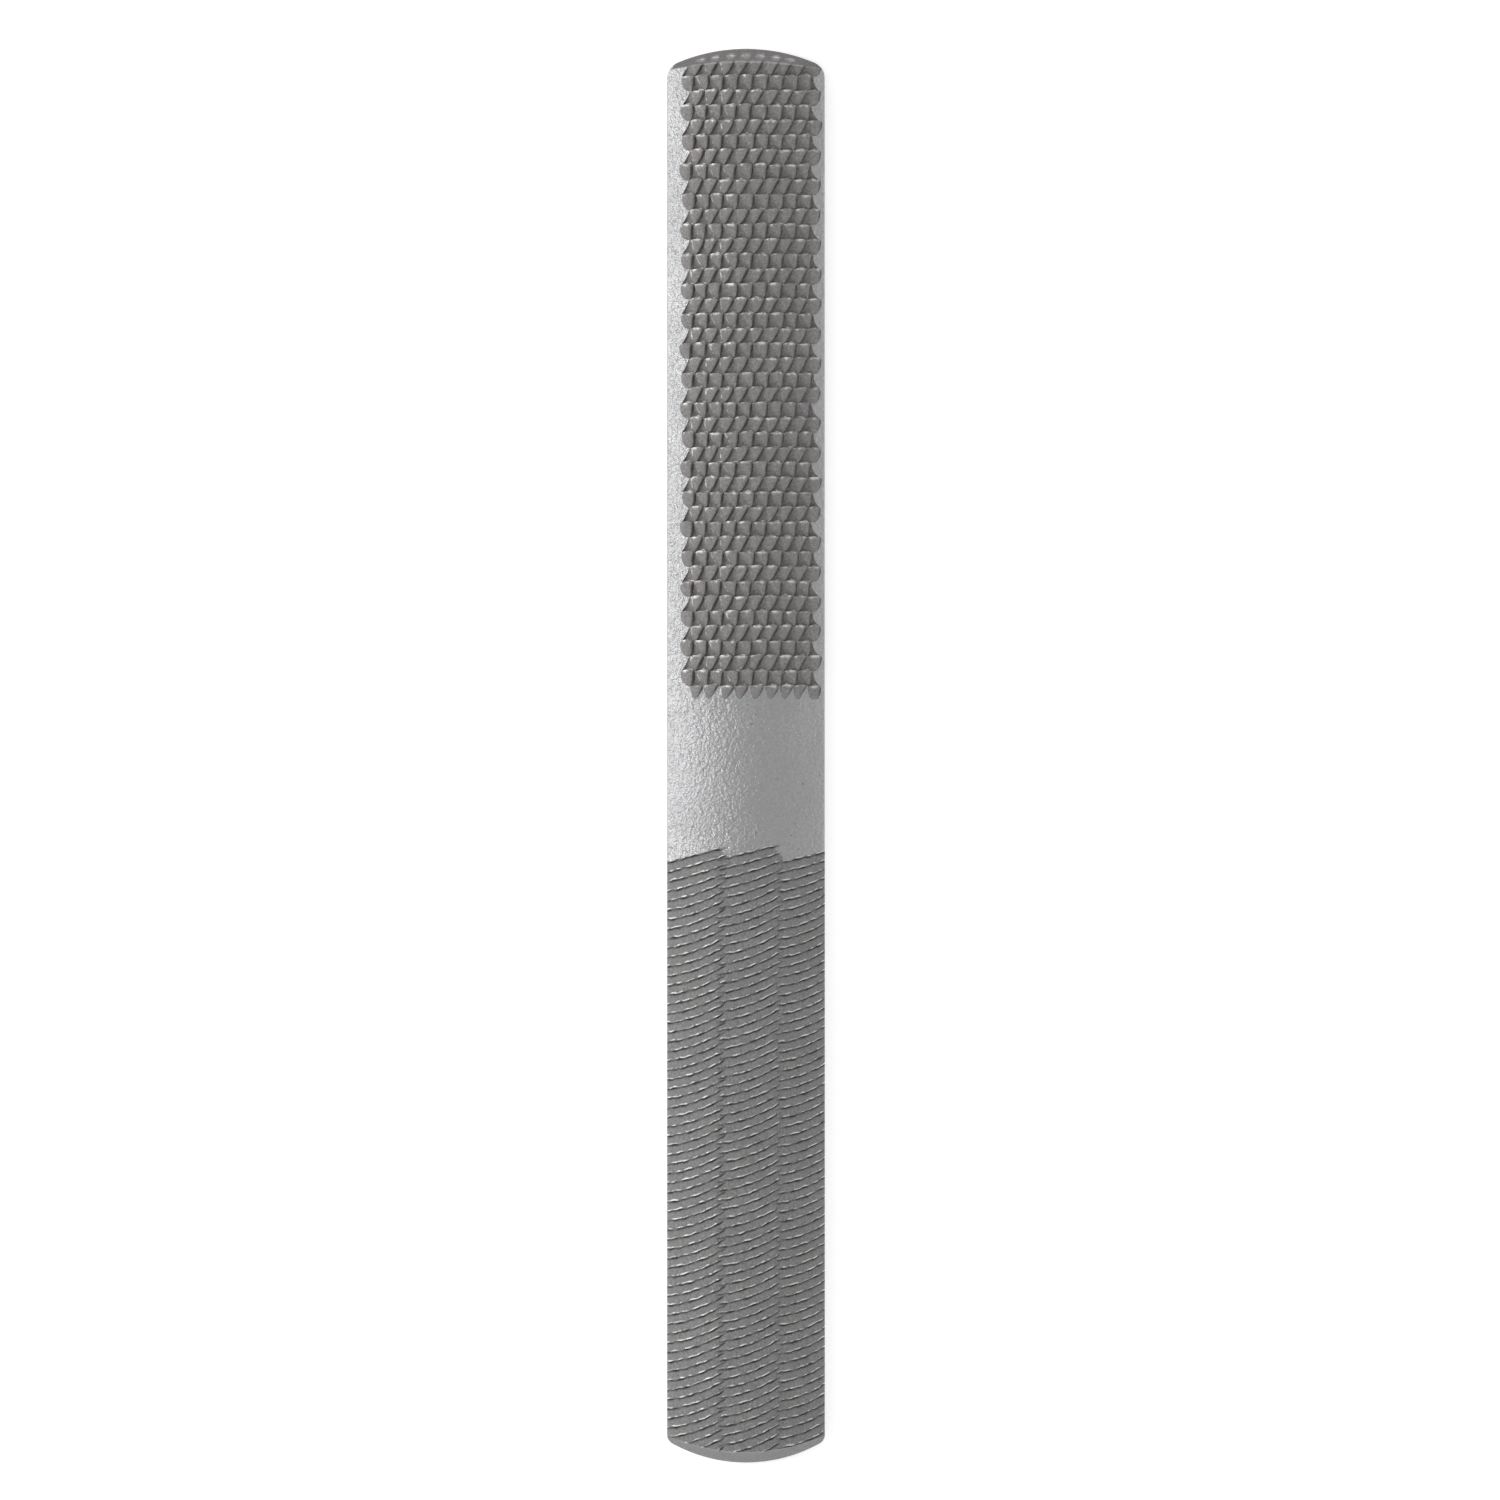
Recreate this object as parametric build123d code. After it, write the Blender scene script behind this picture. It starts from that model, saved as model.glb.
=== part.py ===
"""Four-way rasp: one bar of hardened steel, flat below and round above, with no handle.

Millimetres. The bar lies along Y with its round side up. +Y points to the end where the round side
has rasp teeth, so -Y points to the end where it has file teeth. The flat side is cut the other way
round. The origin is the middle of the bounding box, on the plane that the flat side's teeth touch.

The real tool is a single piece. Its blank and its six cut zones are separate solids here, and each
zone is a thin inlay that fills a pocket of the blank exactly.
"""
from build123d import *
import os
from math import asin, atan, cos, degrees, sin, sqrt

# Bar
length = 200.0
width = 22.3
crown_radius = 20.0
flat_z = 0.4
edge_z = 3.0
rasp_end_radius = 25.0
file_end_radius = 21.5
rasp_corner_radius = 2.5
file_corner_radius = 1.5

# Ground bevel over each end of the round side: its foot's height, and its rise over run
rasp_bevel_foot = 2.4
rasp_bevel_slope = 1.8
file_bevel_foot = 1.0
file_bevel_slope = 2.9

# Smooth grip bands in the middle of the bar
round_rasp_from = 8.0
round_file_from = -12.0
flat_grip = 11.0

# One rasp tooth, seen from above: its foot is widest below the crest and narrows to a tip behind it
tooth_width = 1.9
tooth_length = 1.8
tooth_tip = 0.65
tooth_rise = 0.5
tooth_root = 0.25
crest_width = 1.5
crest_land = 0.2
crest_lean = 0.12

# Rasp fields: rows along the bar, and columns measured along the crown's arc
row_pitch = 2.10
column_pitch = 2.14
teeth_in_row = 9
row_shift = 1.5
first_column = -8.54
round_first_row = 96.1
round_last_row = 10.0
flat_first_row = -96.1
flat_last_row = -13.0
rasp_field = (-9.75, 10.75)

# File teeth: V grooves with a steep face towards the end that they cut towards
file_pitch = 1.33
groove_width = 0.75
groove_depth = 0.4
groove_foot = 0.15
groove_overrun = 6.0
file_slope = 0.165
course_edges = (-width / 2, -2.3, 5.2, width / 2)
course_names = ("left", "middle", "right")
overcut_pitch = 2.3
overcut_slope = 0.8
upcut_slope = -0.36

# Inlays, and the spare reach of the shapes that only trim others
inlay_depth = 0.7
flat_inlay_depth = 0.6
clear = 5.0

crown_z = edge_z + crown_radius - sqrt(crown_radius**2 - (width / 2) ** 2)
axis_z = crown_z - crown_radius


def plan_face():
    """The bar's outline from above: two arched ends and rounded corners."""
    half = width / 2
    rasp_corner = length / 2 - rasp_end_radius + sqrt(rasp_end_radius**2 - half**2)
    file_corner = length / 2 - file_end_radius + sqrt(file_end_radius**2 - half**2)
    outline = [
        ThreePointArc((-half, rasp_corner), (0, length / 2), (half, rasp_corner)),
        Line((half, rasp_corner), (half, -file_corner)),
        ThreePointArc((half, -file_corner), (0, -length / 2), (-half, -file_corner)),
        Line((-half, -file_corner), (-half, rasp_corner)),
    ]
    face = make_face(outline)
    face = fillet(face.vertices().sort_by(Axis.Y)[-2:], rasp_corner_radius)
    return fillet(face.vertices().sort_by(Axis.Y)[:2], file_corner_radius)


def prism(face, low, high):
    """A face in the XY plane, stretched from one height to another."""
    return Pos(0, 0, low) * extrude(face, high - low)


def slab(x_range, y_range, z_range):
    """A box between two limits on each axis."""
    spans = [high - low for low, high in (x_range, y_range, z_range)]
    middle = [(high + low) / 2 for low, high in (x_range, y_range, z_range)]
    return Pos(*middle) * Box(*spans)


def half_round_bar():
    """Flat bottom, two upright safe edges and the crown, along the whole length."""
    half = width / 2
    section = [
        Line((-half, flat_z), (half, flat_z)),
        Line((half, flat_z), (half, edge_z)),
        ThreePointArc((half, edge_z), (0, crown_z), (-half, edge_z)),
        Line((-half, edge_z), (-half, flat_z)),
    ]
    return extrude(Plane.XZ * make_face(section), length / 2, both=True)


def bevel_cone(end_radius, foot, slope):
    """The cone that a ground end follows, standing on its wide end, about the end arc's centre."""
    low = -clear
    high = crown_z + clear
    foot_radius = end_radius + (foot - low) / slope
    top_radius = end_radius - (high - foot) / slope
    return Pos(0, 0, (low + high) / 2) * Cone(foot_radius, top_radius, high - low)


def full_bar():
    """The uncut bar: the half-round section, trimmed to its outline and bevelled at both ends."""
    bar = half_round_bar() & prism(plan_face(), -clear, crown_z + clear)
    rasp_centre = length / 2 - rasp_end_radius
    file_centre = length / 2 - file_end_radius
    rasp_cone = Pos(0, rasp_centre, 0) * bevel_cone(rasp_end_radius, rasp_bevel_foot, rasp_bevel_slope)
    file_cone = Pos(0, -file_centre, 0) * bevel_cone(file_end_radius, file_bevel_foot, file_bevel_slope)
    reach = (-width, width)
    heights = (-clear, crown_z + clear)
    rasp_end = (bar & slab(reach, (rasp_centre, length), heights)) & rasp_cone
    file_end = (bar & slab(reach, (-length, -file_centre), heights)) & file_cone
    middle = bar & slab(reach, (-file_centre, rasp_centre), heights)
    return middle + rasp_end + file_end


def crown_zone(x_range, y_range):
    """The space above an inlay's floor on the round side: all that is outside a smaller crown."""
    zone = slab(x_range, y_range, (edge_z - clear, crown_z + clear))
    core = Pos(0, sum(y_range) / 2, axis_z) * Rot(90, 0, 0) * Cylinder(
        crown_radius - inlay_depth, y_range[1] - y_range[0] + clear
    )
    return zone - core


def crown_plane(arc, along):
    """A plane that touches the crown: arc is measured round the crown from its top."""
    angle = arc / crown_radius
    return Plane(
        origin=(crown_radius * sin(angle), along, axis_z + crown_radius * cos(angle)),
        x_dir=(cos(angle), 0, -sin(angle)),
        z_dir=(sin(angle), 0, cos(angle)),
    )


def rasp_tooth(rise):
    """One burr tooth: a steep face towards +Y, a narrow crest and a back that slopes away."""
    half = tooth_width / 2
    crest = crest_width / 2
    tip = tooth_tip / 2
    taper = (half - tip) / tooth_length
    back_half = crest - taper * crest_land
    foot_end = crest_lean - tooth_length
    foot = [(-half, crest_lean), (half, crest_lean), (tip, foot_end), (-tip, foot_end)]
    top = [(-crest, 0), (crest, 0), (back_half, -crest_land), (-back_half, -crest_land)]
    foot_face = make_face(Polyline(*foot, close=True))
    top_face = make_face(Polyline(*top, close=True))
    return loft([Pos(0, 0, -tooth_root) * foot_face, Pos(0, 0, rise) * top_face], ruled=True)


def tooth_arcs(row):
    """Where a row's teeth stand: every other row is shifted."""
    start = first_column + (row_shift if row % 2 else 0.0)
    return [start + column * column_pitch for column in range(teeth_in_row)]


def round_rasp_teeth():
    """The rasp teeth of the round side, one shape per column, copied row by row."""
    tooth = rasp_tooth(tooth_rise)
    rows = 1 + round((round_first_row - round_last_row) / row_pitch)
    return [
        crown_plane(arc, round_first_row - row * row_pitch) * tooth
        for row in range(rows)
        for arc in tooth_arcs(row)
    ]


def flat_rasp_teeth():
    """The rasp teeth of the flat side: they point down, and their steep faces look to -Y."""
    tooth = Rot(180, 0, 0) * rasp_tooth(flat_z)
    rows = 1 + int((flat_last_row - flat_first_row) / row_pitch)
    centring = -(first_column + (column_pitch * (teeth_in_row - 1) + row_shift) / 2)
    return [
        Pos(arc + centring, flat_first_row + row * row_pitch, flat_z) * tooth
        for row in range(rows)
        for arc in tooth_arcs(row)
    ]


def groove_profile(height):
    """A V groove's section, open at the top: its steep side is the crest that cuts."""
    spare = height / groove_depth
    return [
        (height, spare * groove_foot),
        (-groove_depth, -groove_foot),
        (height, -groove_width - spare * (groove_width - groove_foot)),
    ]


def round_groove(x_range, along):
    """One groove across a course of the round side, following the crown on a slant."""
    first, last = (asin(x / crown_radius) for x in x_range)
    middle = (first + last) / 2
    normal = Vector(sin(middle), 0, cos(middle))
    tilt = atan(file_slope)
    axis = Vector(-sin(tilt) * cos(middle), cos(tilt), sin(tilt) * sin(middle))
    frame = Plane(origin=(0, along, axis_z), x_dir=normal, z_dir=axis)
    profile = [(crown_radius + out, back) for out, back in groove_profile(groove_depth)]
    section = Plane.XZ * make_face(Polyline(*profile, close=True))
    sweep = degrees(last - first) + 2 * groove_overrun
    ring = revolve(section, Axis.Z, sweep)
    return frame * (Rot(0, 0, -sweep / 2) * ring)


def round_file_inlay(bar, x_range):
    """One course of the round side's file: a strip of the crown with slanted grooves."""
    strip = bar & crown_zone(x_range, (-length, round_file_from))
    count = int((length / 2 + round_file_from) / file_pitch)
    crests = [round_file_from - file_pitch * (index + 0.5) for index in range(count)]
    return strip - [round_groove(x_range, crest) for crest in crests]


def flat_grooves(pitch, slope, from_y, to_y):
    """Straight V grooves across the flat side, on a slant, with their crests towards +Y."""
    reach = width / 2 * abs(slope)
    count = int((to_y - from_y + 2 * reach) / pitch)
    angle = degrees(atan(slope))
    profile = [(-back, -out) for out, back in groove_profile(groove_depth)]
    section = make_face(Polyline(*profile, close=True))
    groove = extrude(Plane.YZ * section, width, both=True)
    start = from_y - reach
    return [Pos(0, start + pitch * index, 0) * Rot(0, 0, angle) * groove for index in range(count)]


def flat_zone(from_y, to_y, low):
    """The space of a flat-side inlay: the whole outline between two limits along the bar."""
    plan = prism(plan_face(), low, flat_z + flat_inlay_depth)
    return plan & slab((-width, width), (from_y, to_y), (-clear, clear))


def write(name, shape):
    """Give a sub-part its own file: each one is a single solid."""
    print(name, "solids", len(shape.solids()), "volume", round(shape.volume, 2))
    export_step(shape.solid(), f"parts/{name}.step")


def build():
    """Divide the bar into its blank and its cut zones, and cut the teeth."""
    os.makedirs("parts", exist_ok=True)
    bar = full_bar()
    rasp_space = crown_zone(rasp_field, (round_rasp_from, length))
    file_space = crown_zone((-width, width), (-length, round_file_from))
    flat_file_space = flat_zone(flat_grip, length, 0.0)
    flat_rasp_space = flat_zone(-length, -flat_grip, flat_z)
    blank = bar - rasp_space - file_space - flat_file_space - flat_rasp_space
    write("blank", blank)
    write("round_rasp_teeth", (bar & rasp_space) + round_rasp_teeth())
    for name, x_range in zip(course_names, zip(course_edges, course_edges[1:])):
        write(f"round_file_teeth_{name}", round_file_inlay(bar, x_range))
    overcut = flat_grooves(overcut_pitch, overcut_slope, flat_grip, length / 2)
    upcut = flat_grooves(file_pitch, upcut_slope, flat_grip, length / 2)
    write("flat_file_teeth", flat_file_space - upcut - overcut)
    write("flat_rasp_teeth", flat_rasp_space + flat_rasp_teeth())


build()
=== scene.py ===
"""Four-way rasp: its finished meshes and steel finishes around the CAD frame, and a plain studio."""

import math

import bpy
import numpy as np
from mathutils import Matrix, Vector


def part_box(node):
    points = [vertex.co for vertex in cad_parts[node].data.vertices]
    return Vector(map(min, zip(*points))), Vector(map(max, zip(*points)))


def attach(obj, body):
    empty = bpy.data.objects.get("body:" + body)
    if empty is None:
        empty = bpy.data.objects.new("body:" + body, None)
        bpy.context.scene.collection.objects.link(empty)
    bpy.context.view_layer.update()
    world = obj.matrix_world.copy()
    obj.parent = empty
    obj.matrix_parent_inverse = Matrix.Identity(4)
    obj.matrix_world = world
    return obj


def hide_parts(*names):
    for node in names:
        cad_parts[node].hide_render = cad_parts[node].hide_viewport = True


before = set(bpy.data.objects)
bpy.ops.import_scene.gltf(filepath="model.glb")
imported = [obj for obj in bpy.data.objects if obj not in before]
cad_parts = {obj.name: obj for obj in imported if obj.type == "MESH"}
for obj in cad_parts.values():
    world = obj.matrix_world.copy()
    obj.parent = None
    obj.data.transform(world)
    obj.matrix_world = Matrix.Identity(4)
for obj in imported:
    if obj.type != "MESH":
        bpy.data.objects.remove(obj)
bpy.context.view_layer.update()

bl_info = {
    "name": "Four-way rasp",
    "version": (1, 0, 0),
    "blender": (4, 5, 0),
    "location": "3D View > Sidebar > Rasp",
    "description": "Models a half-round rasp and file around its CAD frame, in a plain studio",
    "category": "Object",
}

MM = 0.001
BODY = "root"
BLANK_LOW, BLANK_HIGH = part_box("blank")
RASP_LOW, RASP_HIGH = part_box("round_rasp_teeth")
FLAT_FILE_LOW, FLAT_FILE_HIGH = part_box("flat_file_teeth")
_, FLAT_RASP_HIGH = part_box("flat_rasp_teeth")
COURSES = ("left", "middle", "right")
COURSE_BOXES = [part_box(f"round_file_teeth_{name}") for name in COURSES]
HALF_WIDTH = BLANK_HIGH.x
HALF_LENGTH = BLANK_HIGH.y
FLAT_Z = BLANK_LOW.z
CROWN_Z = BLANK_HIGH.z
GRIP_FROM = COURSE_BOXES[0][1].y
GRIP_TO = RASP_LOW.y
SHEET_TOP = CROWN_Z + 5 * MM
# Reach of a cutting tool past its work
OVER = 2 * MM
# Where faces may belong to an end's bevel
BEVELS_FROM = 97 * MM
CORNERS_FROM = 95 * MM
# Painted shade on the end bevels, as a share of the darkest painted shade
BEVEL_SHADE = 0.62
FILE_BEVEL_SHADE = 0.3


# ---- settings


def length(name, description, millimetres):
    """A size, given in millimetres and kept in metres."""
    return bpy.props.FloatProperty(
        name=name, description=description, default=millimetres * MM,
        precision=5, subtype="DISTANCE", unit="LENGTH",
    )


def ratio(name, description, value):
    """A plain number in the panel."""
    return bpy.props.FloatProperty(name=name, description=description, default=value, precision=3)


def colour(name, description, value):
    """A linear colour in the panel."""
    return bpy.props.FloatVectorProperty(
        name=name, description=description, default=value, size=3, min=0.0, max=1.0, subtype="COLOR"
    )


class BarShape(bpy.types.PropertyGroup):
    """The bar's section and its two arched ends."""

    crown_radius: length("Crown radius", "Radius of the round side", 20.0)
    edge_round: length("Edge rounding", "Radius beside the safe edges", 0.45)
    foot_chamfer: length("Foot chamfer", "Chamfer of the flat side", 0.35)
    rasp_end_radius: length("Rasp end radius", "Arch of the rasp end", 25.0)
    rasp_bevel_foot: length("Rasp bevel foot", "Height where its bevel begins", 2.4)
    rasp_bevel_slope: ratio("Rasp bevel slope", "Rise over run of that bevel", 1.8)
    rasp_corner_radius: length("Rasp end corners", "Rounding of its corners", 2.5)
    file_end_radius: length("File end radius", "Arch of the file end", 21.5)
    file_bevel_foot: length("File bevel foot", "Height where its bevel begins", 1.0)
    file_bevel_slope: ratio("File bevel slope", "Rise over run of that bevel", 2.9)
    file_corner_radius: length("File end corners", "Rounding of its corners", 1.5)
    inlay_depth: length("Cut depth allowance", "Thickness of a cut zone", 0.7)
    skirt: length("Skirt", "Its thickness over a bevel", 0.15)


class RaspCut(bpy.types.PropertyGroup):
    """Rows of single burr teeth."""

    row_pitch: length("Row pitch", "From one row to the next", 2.10)
    column_pitch: length("Column pitch", "Between teeth, along the arc", 2.14)
    row_shift: length("Row shift", "Shift of every other row", 1.5)
    first_column: length("First column", "Place of an unshifted row's first tooth", -8.54)
    first_row: length("First row", "Place of the crest nearest the end", 98.2)
    tooth_height: length("Tooth height", "Height over the bar", 0.46)
    pit_depth: length("Pit depth", "Depth in front of a burr", 0.46)
    crest_bow: length("Crest bow", "How far its ends bend back", 0.16)
    wander: length("Wander", "Largest error of one tooth's place", 0.12)
    chip: length("Chipping", "Roughness of a tooth's faces", 0.08)
    flat_height: length("Flat tooth height", "Height of the flat side's burrs", 0.39)


class FileCut(bpy.types.PropertyGroup):
    """Slanted grooves in three courses, and the flat side's double cut."""

    pitch: length("Groove pitch", "From one groove to the next", 1.33)
    groove_depth: length("Groove depth", "Depth of a groove", 0.36)
    burr: length("Burr", "Rise of the crest over the land", 0.07)
    slant: ratio("Slant", "Slope of a groove at its left end", 0.08)
    bend: ratio("Bend", "Growth of that slope, for each millimetre", 0.053)
    first_slant: ratio("First slant", "Slope of the first, straight grooves", 0.25)
    straight_grooves: ratio("Straight grooves", "Grooves between straight and bent", 5.0)
    shake: length("Shake", "How unevenly a groove runs", 0.07)
    run_out: length("Run-out", "Length over which a groove dies out", 1.5)
    overcut_pitch: length("Overcut pitch", "The flat side's second grooves", 2.3)
    overcut_slope: ratio("Overcut slope", "Slope of those grooves", 0.8)
    upcut_slope: ratio("Upcut slope", "Slope of its first grooves", -0.36)


class Finishes(bpy.types.PropertyGroup):
    """Colours of the steel."""

    ground: colour("Ground steel", "Blasted steel of the blank", (0.425, 0.425, 0.431))
    rasp_cut: colour("Rasp steel", "Steel of the burr teeth", (0.42, 0.402, 0.403))
    file_cut: colour("File steel", "Steel of the file teeth", (0.385, 0.384, 0.383))
    # Crest colour: rubbed steel, and painted highlights
    crest: colour("Crest steel", "Bright steel of the crests", (0.74, 0.73, 0.72))


class Studio(bpy.types.PropertyGroup):
    """Floor, lights and camera."""

    floor: colour("Floor", "Colour of the floor", (0.93, 0.93, 0.93))
    floor_glow: ratio("Floor glow", "Light that it gives off by itself", 0.5)
    surround: ratio("Surround", "Brightness all round", 0.62)
    key: ratio("Key light", "Watts of the large light on the left", 7.0)
    fill: ratio("Fill light", "Watts of the light on the right", 0.5)
    foot: ratio("Foot light", "Watts of the light at the file end", 0.9)
    head: ratio("Head light", "Watts of the light at the rasp end", 1.2)
    view_width: length("View width", "Width of the view at the bar", 212.0)
    view_distance: length("View distance", "Height over the bar", 1500.0)
    view_x: length("View centre X", "Its centre across the bar", 0.57)
    view_y: length("View centre Y", "Its centre along the bar", 0.85)


# ---- the bar's surface


def axis_height(shape):
    """Height of the crown's axis."""
    return CROWN_Z - shape.crown_radius


def edge_arc(shape):
    """The rounding beside a safe edge: its centre's height, first angle and both arc lengths."""
    radius, small = shape.crown_radius, shape.edge_round
    rise = math.sqrt((radius - small) ** 2 - (HALF_WIDTH - small) ** 2)
    angle = math.atan2(HALF_WIDTH - small, rise)
    start = radius * angle
    return axis_height(shape) + rise, angle, start, start + small * (math.pi / 2 - angle)


def arc_of(shape, x):
    """Distance round the crown, from its top, to a place across the bar."""
    return shape.crown_radius * math.asin(x / shape.crown_radius)


def round_surface(shape, s):
    """Point and outward normal of the round side, at a distance s round it from its top."""
    centre, angle, start, end = edge_arc(shape)
    radius, small = shape.crown_radius, shape.edge_round
    side, reach = np.sign(s), np.abs(s)
    on_crown = reach <= start
    turn = np.where(on_crown, reach / radius, angle + (np.minimum(reach, end) - start) / small)
    sine, cosine = np.sin(turn), np.cos(turn)
    x = np.where(on_crown, radius * sine, HALF_WIDTH - small + small * sine)
    z = np.where(on_crown, axis_height(shape) + radius * cosine, centre + small * cosine)
    return side * x, z, side * sine, cosine


def end_facts(shape, rasp_end):
    """One end's arc centre, arc radius, bevel foot, bevel slope and corner radius."""
    end = "rasp" if rasp_end else "file"
    sizes = ("end_radius", "bevel_foot", "bevel_slope", "corner_radius")
    radius, foot, slope, corner = (getattr(shape, f"{end}_{size}") for size in sizes)
    return HALF_LENGTH - radius, radius, foot, slope, corner


def outline_reach(shape, x, rasp_end):
    """How far the outline reaches along the bar."""
    centre, radius, _, _, small = end_facts(shape, rasp_end)
    x = np.minimum(np.abs(x), HALF_WIDTH)
    inner = HALF_WIDTH - small
    corner = centre + math.sqrt((radius - small) ** 2 - inner**2)
    tangent = radius * inner / (radius - small)
    arch = centre + np.sqrt(radius**2 - x**2)
    rounding = corner + np.sqrt(np.maximum(small**2 - np.maximum(x - inner, 0.0) ** 2, 0.0))
    return np.where(x < tangent, arch, rounding)


def bevel_reach(shape, x, z, rasp_end):
    """How far a ground bevel leaves the bar at a height, never past the outline."""
    centre, radius, foot, slope, _ = end_facts(shape, rasp_end)
    inside = radius - np.maximum(z - foot, 0.0) / slope
    arch = centre + np.sqrt(inside**2 - np.minimum(x**2, inside**2))
    return np.minimum(outline_reach(shape, x, rasp_end), arch)


def bevel_height(shape, x, y, rasp_end):
    """Height of a ground bevel at a place."""
    centre, radius, foot, slope, _ = end_facts(shape, rasp_end)
    return foot + (radius - np.hypot(x, np.abs(y) - centre)) * slope


def round_points(shape, s, y, height):
    """Points at a height over the round side."""
    x, z, across, up = round_surface(shape, s)
    _, _, start, end = edge_arc(shape)
    height = height * np.clip((end - np.abs(s)) / (0.5 * (end - start)), 0.0, 1.0)
    x = np.clip(x + across * height, -HALF_WIDTH, HALF_WIDTH)
    return np.stack([x, np.broadcast_to(y, x.shape), z + up * height], axis=-1)


# Rows of a bevel from its rim up, and the low crest that the last row of teeth leaves on it
BEVEL_ROWS = np.array([0.0, 0.25, 0.42, 0.5, 0.58, 0.8])
BEVEL_CREST = np.array([0.0, 0.0, 0.3, 1.0, 0.2, 0.0])


def over_the_bevel(shape, s, y, height, polish, rasp_end, crest):
    """Ends a sheet's columns at a bevel's edge, and carries them down over it to the rim.

    The rows run towards this end's rim. What lies past the bevel's edge is drawn back to it and merged
    later, and the same columns then go down the bevel. A low crest may run across it.
    """
    x, z, _, _ = round_surface(shape, s)
    edge = bevel_reach(shape, x, z, rasp_end)
    past = np.abs(y) >= edge
    first = past.argmax(axis=0)
    columns = np.arange(s.shape[1])
    kept = np.minimum(np.arange(len(s))[:, None], first[None, :])
    s, height, polish = s[kept, columns], height[kept, columns], polish[kept, columns]
    sign = 1 if rasp_end else -1
    y = np.where(past, sign * edge, y)[kept, columns]
    edge_s, edge_y = s[-1], np.abs(y[-1])
    x, z, _, _ = round_surface(shape, edge_s)
    rim = outline_reach(shape, x, rasp_end)
    share = BEVEL_ROWS[::-1, None]
    down_y = rim + (edge_y - rim) * share
    down_z = np.minimum(bevel_height(shape, x, down_y, rasp_end), z)
    width = np.clip((rim - edge_y) / (1.0 * MM), 0.0, 1.0)
    bump = BEVEL_CREST[::-1, None] * crest(edge_s) * width
    steep = end_facts(shape, rasp_end)[3]
    tilt = math.hypot(1.0, steep)
    across = np.broadcast_to(x, down_y.shape)
    down = np.stack([across, sign * (down_y + bump * steep / tilt), down_z + bump / tilt], axis=-1)
    points = np.concatenate([round_points(shape, s, y, height), down])
    none = np.zeros(down_y.shape)
    # Painted shade over the bevel, and a painted highlight along its low crest
    bevel_shade = BEVEL_SHADE if rasp_end else FILE_BEVEL_SHADE
    highlight_and_shade = np.clip(bump / (0.04 * MM), 0.0, 1.0) * (1 + bevel_shade) - bevel_shade
    return points, np.concatenate([height, none]), np.concatenate([polish, highlight_and_shade])


def flat_points(shape, x, y, height):
    """Points at a height below the flat side, trimmed by the outline and its chamfer."""
    x = np.clip(x, -HALF_WIDTH, HALF_WIDTH)
    reach = np.where(y > 0, outline_reach(shape, x, True), outline_reach(shape, x, False))
    beyond = np.abs(y) > reach + 1e-7
    y = np.clip(y, -reach, reach)
    rim = np.minimum(HALF_WIDTH - np.abs(x), reach - np.abs(y))
    chamfer = FLAT_Z + shape.foot_chamfer - rim
    return np.stack([x, y, np.maximum(np.maximum(FLAT_Z - height, chamfer), 0.0)], axis=-1), beyond


# ---- mesh tools


def choose(obj):
    """Selects one object alone."""
    bpy.ops.object.select_all(action="DESELECT")
    obj.select_set(True)
    bpy.context.view_layer.objects.active = obj


def edit(obj, action="DESELECT"):
    """Goes into edit mode on one object, with nothing or everything selected."""
    choose(obj)
    bpy.ops.object.mode_set(mode="EDIT")
    bpy.ops.mesh.select_mode(type="VERT")
    bpy.ops.mesh.select_all(action=action)


def leave_edit():
    """Back to object mode."""
    bpy.ops.object.mode_set(mode="OBJECT")


def fresh(name):
    """Names the object just added and applies its transform."""
    obj = bpy.context.object
    obj.name = name
    obj.data.name = name
    bpy.ops.object.transform_apply(location=True, rotation=True, scale=True)
    return obj


def read(items, title, width=1, kind=float):
    """One property of many vertices, faces or values, as an array."""
    flat = np.empty(len(items) * width, kind)
    items.foreach_get(title, flat)
    return flat.reshape(-1, width) if width > 1 else flat


def coordinates(obj):
    """All vertex places."""
    return read(obj.data.vertices, "co", 3)


def set_coordinates(obj, places):
    """Moves every vertex to a given place."""
    obj.data.vertices.foreach_set("co", np.asarray(places, float).ravel())
    obj.data.update()


def picked_vertices(obj):
    """Which vertices are selected."""
    return read(obj.data.vertices, "select", kind=bool)


def face_mode(obj):
    """Sets face selection, with nothing selected."""
    edit(obj)
    bpy.ops.mesh.select_mode(type="FACE")
    leave_edit()


def face_outwards(obj):
    """Recalculates a closed shell's normals."""
    edit(obj, "SELECT")
    bpy.ops.mesh.normals_make_consistent(inside=False)
    leave_edit()


def refuse_open(obj):
    """Raises if a shell is not closed."""
    edit(obj)
    bpy.ops.mesh.select_non_manifold()
    leave_edit()
    count = int(picked_vertices(obj).sum())
    if count:
        raise RuntimeError(f"{obj.name} has {count} vertices on open or doubled edges")


def smooth(obj, degrees):
    """Smooth shading that keeps edges sharper than an angle."""
    choose(obj)
    bpy.ops.object.shade_smooth_by_angle(angle=math.radians(degrees))


def close_sheet(obj, move):
    """Makes a closed shell of an open sheet: its extruded vertices go where move says."""
    edit(obj, "SELECT")
    bpy.ops.mesh.extrude_region_move()
    leave_edit()
    picked = picked_vertices(obj)
    places = coordinates(obj)
    places[picked] = move(places[picked])
    set_coordinates(obj, places)
    bpy.ops.object.mode_set(mode="EDIT")
    bpy.ops.mesh.select_mode(type="FACE")
    bpy.ops.mesh.dissolve_limited(angle_limit=math.radians(2.5))
    leave_edit()
    face_outwards(obj)
    refuse_open(obj)
    smooth(obj, 38)


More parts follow.
